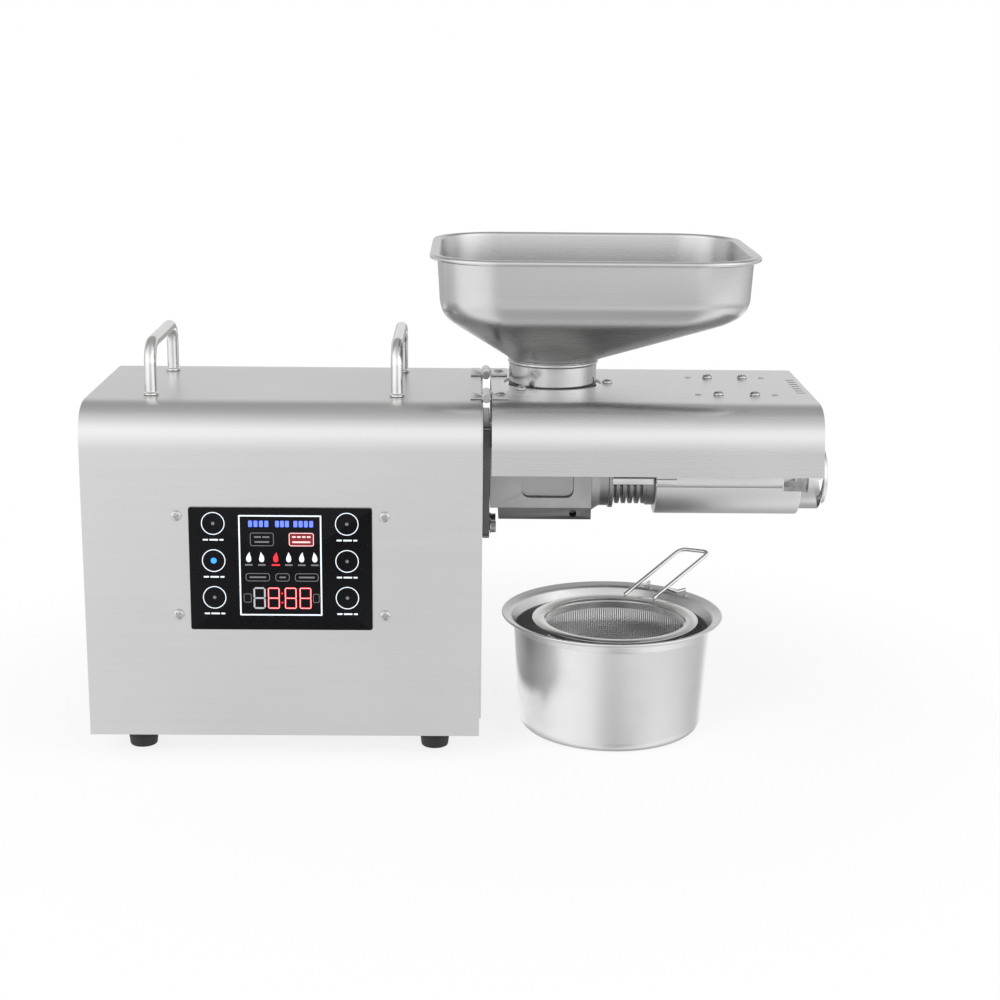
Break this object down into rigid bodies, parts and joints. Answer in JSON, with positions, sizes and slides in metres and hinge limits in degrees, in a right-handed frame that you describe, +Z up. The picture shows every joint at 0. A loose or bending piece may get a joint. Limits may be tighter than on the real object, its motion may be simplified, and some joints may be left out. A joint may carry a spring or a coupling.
{
  "type": "screw oil press",
  "caption": "Countertop screw oil press: motor casing with touch panel and handles, seed hopper over a hinged heater cover, finned barrel and cake outlet, oil pot with strainer.",
  "frame": {"origin": "on the table, below the middle of the whole machine", "axes": "+X along the press barrel from the casing to the cake outlet, +Z up, and the control panel faces -Y"},
  "size_m": [0.5, 0.19, 0.333],
  "materials": {
    "brushed_steel": "brushed stainless steel sheet",
    "polished_steel": "polished stainless steel, unplated",
    "satin_steel": "turned steel, satin",
    "cast_steel": "cast and machined steel",
    "zinc": "zinc-plated steel",
    "black_glass": "glossy black panel overlay",
    "black_plastic": "black moulded plastic",
    "rubber": "black rubber",
    "copper": "copper windings on laminations",
    "circuit_board": "green circuit board",
    "quartz": "frosted quartz tube with ceramic ends"
  },
  "bodies": {
    "machine": {"casing_wrap": "brushed_steel", "left_plate": "brushed_steel", "right_plate": "brushed_steel", "base_tray": "zinc", "motor_housing": "zinc", "motor_bracket": "zinc", "gearbox_housing": "zinc", "flange_bolt_1": "zinc", "flange_bolt_2": "zinc", "hinge_front_fixed": "zinc", "hinge_back_fixed": "zinc", "foot_front_left": "rubber", "foot_front_right": "rubber", "foot_back_left": "rubber", "foot_back_right": "rubber", "handle_left": "polished_steel", "handle_right": "polished_steel", "panel_screw_1": "polished_steel", "panel_screw_2": "polished_steel", "panel_screw_3": "polished_steel", "panel_screw_4": "polished_steel", "control_glass": "black_glass", "control_board": "circuit_board", "power_board": "circuit_board", "motor_stator": "copper", "fan_guard": "black_plastic", "fan_frame": "black_plastic", "power_inlet": "black_plastic", "mount_flange": "satin_steel", "press_sleeve": "satin_steel", "cake_nose": "satin_steel", "feed_block": "cast_steel", "press_cage": "cast_steel"},
    "worm_drive": {"output_drive": "satin_steel", "press_worm": "satin_steel"},
    "planet_stage": {"stage_carrier": "satin_steel"},
    "rotor": {"motor_rotor": "satin_steel"},
    "fan": {"fan_impeller": "black_plastic"},
    "rocker": {"rocker_key": "black_plastic"},
    "cover": {"cover_shell": "brushed_steel", "neck_ring": "polished_steel", "ring_screw_1": "polished_steel", "ring_screw_2": "polished_steel", "ring_screw_3": "polished_steel", "cover_screw_1": "polished_steel", "cover_screw_2": "polished_steel", "cover_screw_3": "polished_steel", "cover_screw_4": "polished_steel", "heater_front": "quartz", "heater_back": "quartz", "heater_saddle": "zinc", "hinge_front_moving": "zinc", "hinge_back_moving": "zinc"},
    "hopper": {"hopper": "polished_steel"},
    "pot": {"oil_pot": "polished_steel"},
    "strainer": {"strainer_rim": "polished_steel", "strainer_bowl": "satin_steel"}
  },
  "joints": [
    {"name": "rotor_spin", "type": "hinge", "parent": "machine", "child": "rotor", "pos_m": [-0.1636, 0.007, 0.174], "axis": [1, 0, 0], "continuous": true},
    {"name": "planet_stage_spin", "type": "hinge", "parent": "machine", "child": "planet_stage", "pos_m": [-0.0434, 0.007, 0.174], "axis": [1, 0, 0], "continuous": true},
    {"name": "worm_spin", "type": "hinge", "parent": "machine", "child": "worm_drive", "pos_m": [0.0354, 0.007, 0.174], "axis": [1, 0, 0], "continuous": true},
    {"name": "fan_spin", "type": "hinge", "parent": "machine", "child": "fan", "pos_m": [-0.2326, -0.005, 0.1692], "axis": [1, 0, 0], "continuous": true},
    {"name": "rocker_tilt", "type": "hinge", "parent": "machine", "child": "rocker", "pos_m": [-0.24415, -0.047, 0.0852], "axis": [0, 1, 0], "range_deg": [-16, 0]},
    {"name": "cover_hinge", "type": "hinge", "parent": "machine", "child": "cover", "pos_m": [0.01415, -0.005, 0.2395], "axis": [0, -1, 0], "range_deg": [0, 22]},
    {"name": "hopper_lift", "type": "slide", "parent": "cover", "child": "hopper", "axis": [0, 0, 1], "range_m": [0, 0.06]},
    {"name": "pot_slide", "type": "slide", "parent": "machine", "child": "pot", "axis": [0, -1, 0], "range_m": [0, 0.2]},
    {"name": "strainer_lift", "type": "slide", "parent": "pot", "child": "strainer", "axis": [0, 0, 1], "range_m": [0, 0.032]}
  ],
  "couplings": [
    {"joint": "planet_stage_spin", "follows": "rotor_spin", "ratio": 0.15528},
    {"joint": "worm_spin", "follows": "rotor_spin", "ratio": 0.024112}
  ]
}
